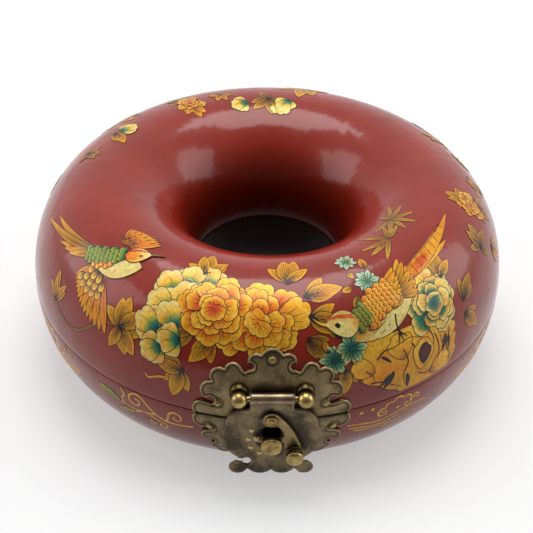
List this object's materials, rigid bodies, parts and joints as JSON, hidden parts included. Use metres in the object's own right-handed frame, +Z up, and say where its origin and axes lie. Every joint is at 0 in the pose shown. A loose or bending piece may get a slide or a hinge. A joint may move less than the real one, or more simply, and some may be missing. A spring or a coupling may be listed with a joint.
{
  "type": "lacquer jewelry box",
  "caption": "Ring-shaped wooden lacquer box with a hollow base, a hinged hollow lid and a brass hasp lock with a turning latch.",
  "frame": {"origin": "on the surface that the box stands on, under the middle of its overall footprint", "axes": "+Z up along the ring's axis, -Y towards the lock, +Y towards the lid hinge"},
  "size_m": [0.24, 0.2559, 0.0954],
  "materials": {
    "red_lacquer": "gloss red lacquer over wood, with painted gold and green flowers",
    "black_lacquer": "black lacquer over wood",
    "aged_brass": "aged, darkened in the hollows"
  },
  "bodies": {
    "base": {"base_shell": "red_lacquer", "outer_locating_rim": "black_lacquer", "inner_locating_rim": "black_lacquer", "lock_plate_lower": "aged_brass", "staple_post": "aged_brass", "lower_plate_nail_1": "aged_brass", "lower_plate_nail_2": "aged_brass", "hinge_leaf_base": "aged_brass", "hinge_pin": "aged_brass", "base_hinge_nail_1": "aged_brass", "base_hinge_nail_2": "aged_brass", "base_hinge_nail_3": "aged_brass"},
    "lid": {"lid_shell": "red_lacquer", "lock_plate_upper": "aged_brass", "hinge_post_left": "aged_brass", "hinge_post_right": "aged_brass", "hasp_pin": "aged_brass", "upper_plate_nail_1": "aged_brass", "upper_plate_nail_2": "aged_brass", "upper_plate_nail_3": "aged_brass", "hinge_leaf_lid": "aged_brass", "lid_hinge_nail_1": "aged_brass", "lid_hinge_nail_2": "aged_brass", "lid_hinge_nail_3": "aged_brass"},
    "hasp": {"hasp": "aged_brass", "latch_rivet": "aged_brass"},
    "latch": {"latch_arm": "aged_brass", "latch_knob": "aged_brass"}
  },
  "joints": [
    {"name": "lid_hinge", "type": "hinge", "parent": "base", "child": "lid", "pos_m": [0, 0.12565, 0.044], "axis": [-1, 0, 0], "range_deg": [0, 105]},
    {"name": "hasp_swing", "type": "hinge", "parent": "lid", "child": "hasp", "pos_m": [0, -0.12045, 0.0597], "axis": [-1, 0, 0], "range_deg": [0, 150]},
    {"name": "latch_turn", "type": "hinge", "parent": "hasp", "child": "latch", "pos_m": [0, -0.12045, 0.0473], "axis": [0, -1, 0], "range_deg": [0, 58]}
  ]
}
